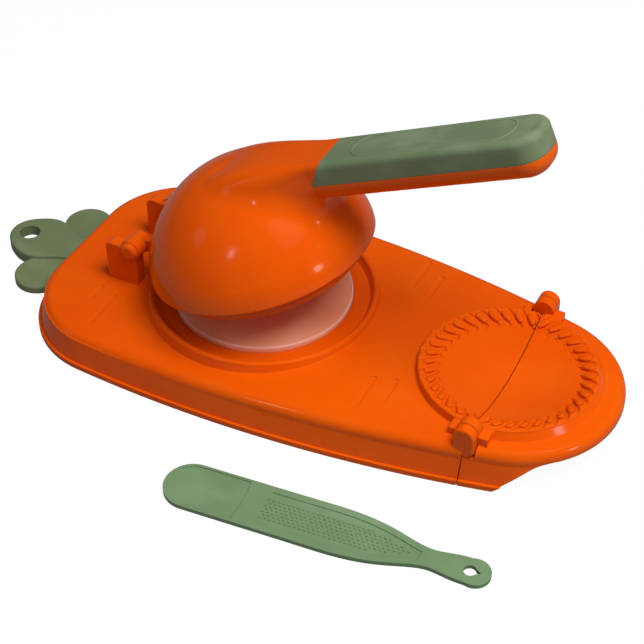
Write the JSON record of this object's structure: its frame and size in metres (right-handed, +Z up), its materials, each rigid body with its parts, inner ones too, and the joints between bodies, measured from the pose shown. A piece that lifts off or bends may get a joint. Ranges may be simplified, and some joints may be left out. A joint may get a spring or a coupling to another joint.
{
  "type": "dumpling maker",
  "caption": "Carrot-shaped dumpling maker: hinged domed press with a long handle over a round plate, fold-over fluted mould at the tip, leaf with a hanging hole, loose spatula.",
  "frame": {"origin": "axis of the round pressing plate, on the floor that the base's rim stands on", "axes": "+X towards the folding tip, +Z up, +Y to the left when looking towards the tip"},
  "size_m": [0.3542, 0.2109, 0.1694],
  "materials": {
    "orange_plastic": "glossy moulded orange plastic",
    "green_plastic": "satin sage green plastic",
    "cream_plastic": "smooth cream plastic",
    "steel": "plain steel",
    "foot_rubber": "soft rubber"
  },
  "bodies": {
    "base": {"base_shell": "orange_plastic", "press_plate": "cream_plastic", "press_plate_screws": "steel", "leaf_tab": "green_plastic", "leaf_tab_screws": "steel", "lid_hinge_pin_left": "orange_plastic", "lid_hinge_pin_right": "orange_plastic", "tip_hinge_pin_left": "orange_plastic", "tip_hinge_pin_right": "orange_plastic", "foot_rear_left": "foot_rubber", "foot_rear_right": "foot_rubber", "foot_front_left": "foot_rubber", "foot_front_right": "foot_rubber"},
    "lid": {"lid_dome": "orange_plastic", "handle_grip": "green_plastic", "handle_grip_screws": "steel", "press_carrier": "orange_plastic", "press_carrier_screws": "steel", "press_disc": "orange_plastic"},
    "tip": {"fold_tip": "orange_plastic"},
    "spatula": {"filling_spatula": "green_plastic"}
  },
  "joints": [
    {"name": "lid_hinge", "type": "hinge", "parent": "base", "child": "lid", "pos_m": [-0.0652, 0, 0.0416], "axis": [0, -1, 0], "range_deg": [-17, 78]},
    {"name": "tip_fold", "type": "hinge", "parent": "base", "child": "tip", "pos_m": [0.1363, 0, 0.0271], "axis": [0, -1, 0], "range_deg": [0, 180]},
    {"name": "spatula_lift", "type": "slide", "parent": "base", "child": "spatula", "axis": [0, 0, 1], "range_m": [0, 0.12]}
  ]
}
